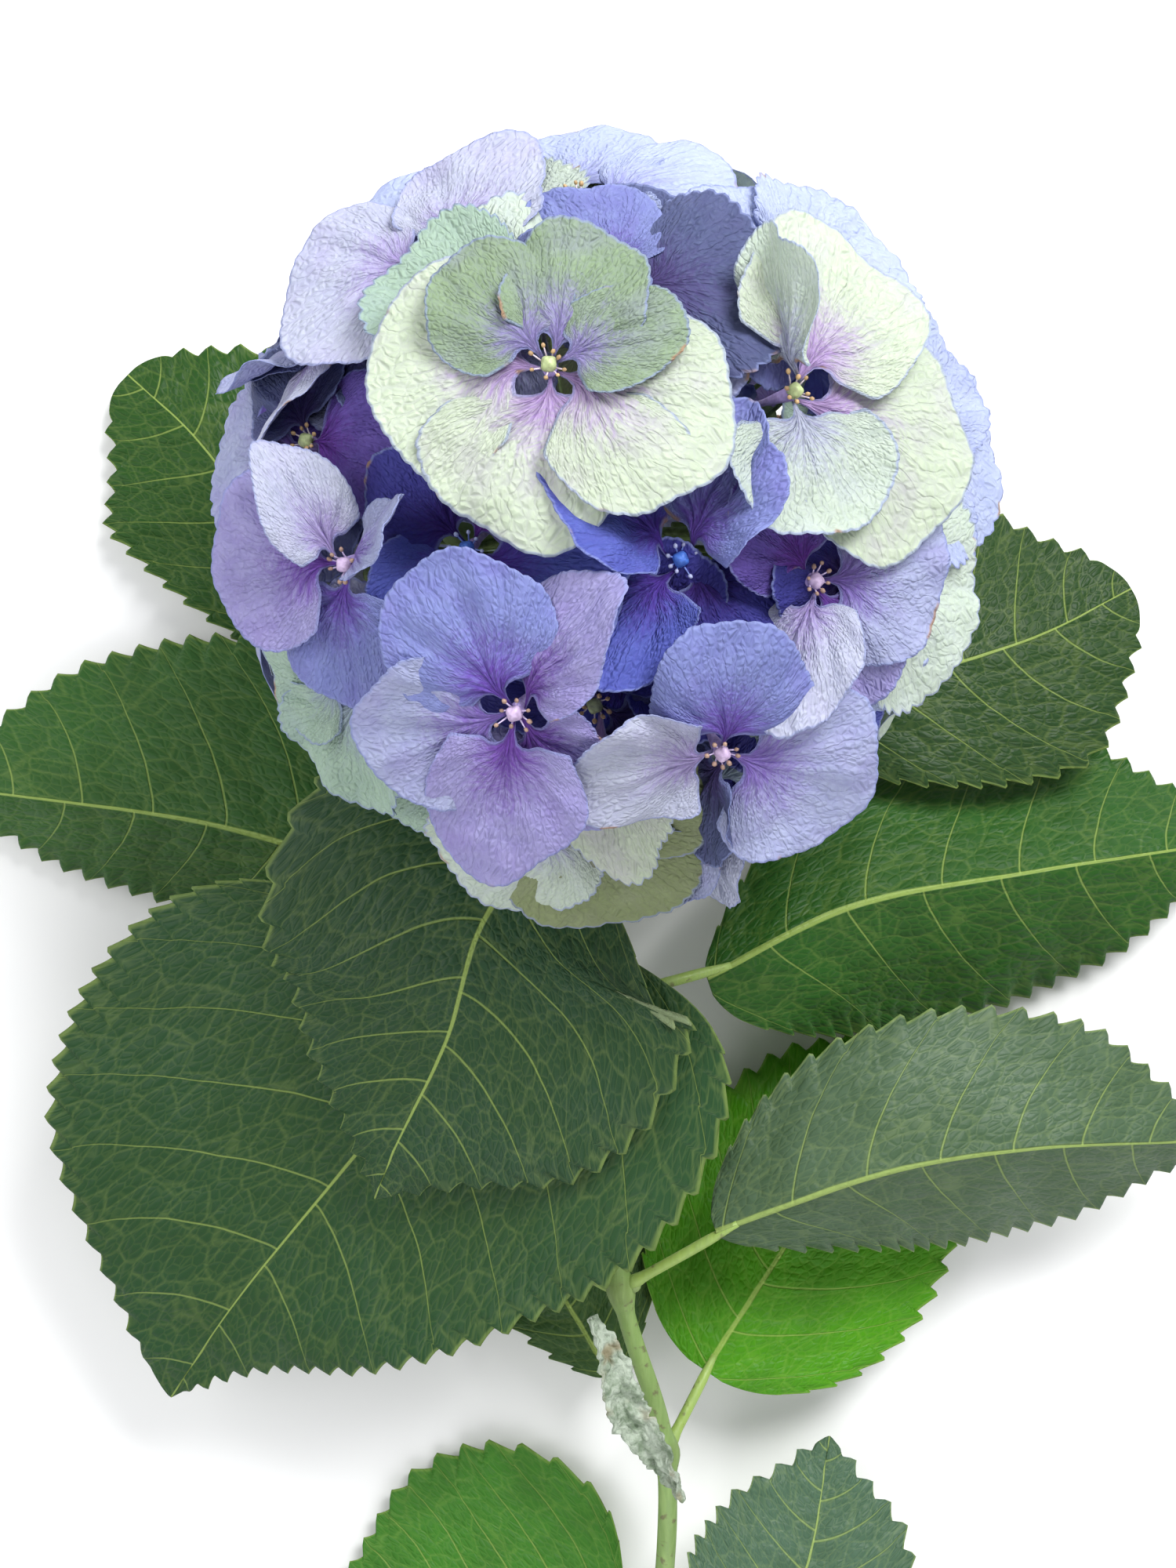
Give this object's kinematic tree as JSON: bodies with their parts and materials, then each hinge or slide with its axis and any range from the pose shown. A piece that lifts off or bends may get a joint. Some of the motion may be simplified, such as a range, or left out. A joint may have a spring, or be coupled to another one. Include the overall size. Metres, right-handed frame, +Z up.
{
  "type": "cut hydrangea",
  "caption": "Cut mophead hydrangea lying down: a ball of pale blue, lilac and green florets on a bent green stem with broad toothed leaves.",
  "frame": {"origin": "middle of the footprint, on the surface that the flower lies on", "axes": "+Y from the stem's cut end towards the flower head, +Z up from the surface, +X to the right seen from above with the head at the far end"},
  "size_m": [0.312, 0.4288, 0.1527],
  "materials": {
    "sepal": "matte",
    "leaf": "satin",
    "stem": "satin",
    "stalk": "satin",
    "withered_leaf": "matte"
  },
  "bodies": {
    "root": {"stem": "stem", "leaf_upper_front": "leaf", "leaf_upper_left": "leaf", "leaf_upper_right": "leaf", "leaf_middle_front": "leaf", "leaf_middle_left": "leaf", "leaf_middle_right": "leaf", "leaf_lower_right": "leaf", "leaf_lower_left": "leaf", "leaf_base_right": "leaf", "leaf_base_left": "leaf", "leaf_foot_right": "leaf", "leaf_foot_left": "leaf", "withered_leaf": "withered_leaf", "branch_front": "stalk", "branch_near": "stalk", "branch_left": "stalk", "branch_right": "stalk", "branch_far": "stalk", "branch_under": "stalk", "floret_01": "sepal", "floret_02": "sepal", "floret_03": "sepal", "floret_04": "sepal", "floret_05": "sepal", "floret_06": "sepal", "floret_07": "sepal", "floret_08": "sepal", "floret_09": "sepal", "floret_10": "sepal", "floret_11": "sepal", "floret_12": "sepal", "floret_13": "sepal", "floret_14": "sepal", "floret_15": "sepal", "floret_16": "sepal", "floret_17": "sepal", "floret_18": "sepal", "floret_19": "sepal", "floret_20": "sepal", "floret_21": "sepal", "floret_22": "sepal", "floret_23": "sepal", "floret_24": "sepal", "floret_25": "sepal", "floret_26": "sepal", "floret_27": "sepal", "floret_28": "sepal", "floret_29": "sepal", "floret_30": "sepal", "floret_31": "sepal", "floret_32": "sepal", "floret_33": "sepal", "floret_34": "sepal", "floret_35": "sepal", "floret_36": "sepal", "floret_37": "sepal", "floret_38": "sepal", "floret_39": "sepal", "floret_40": "sepal"}
  },
  "joints": []
}
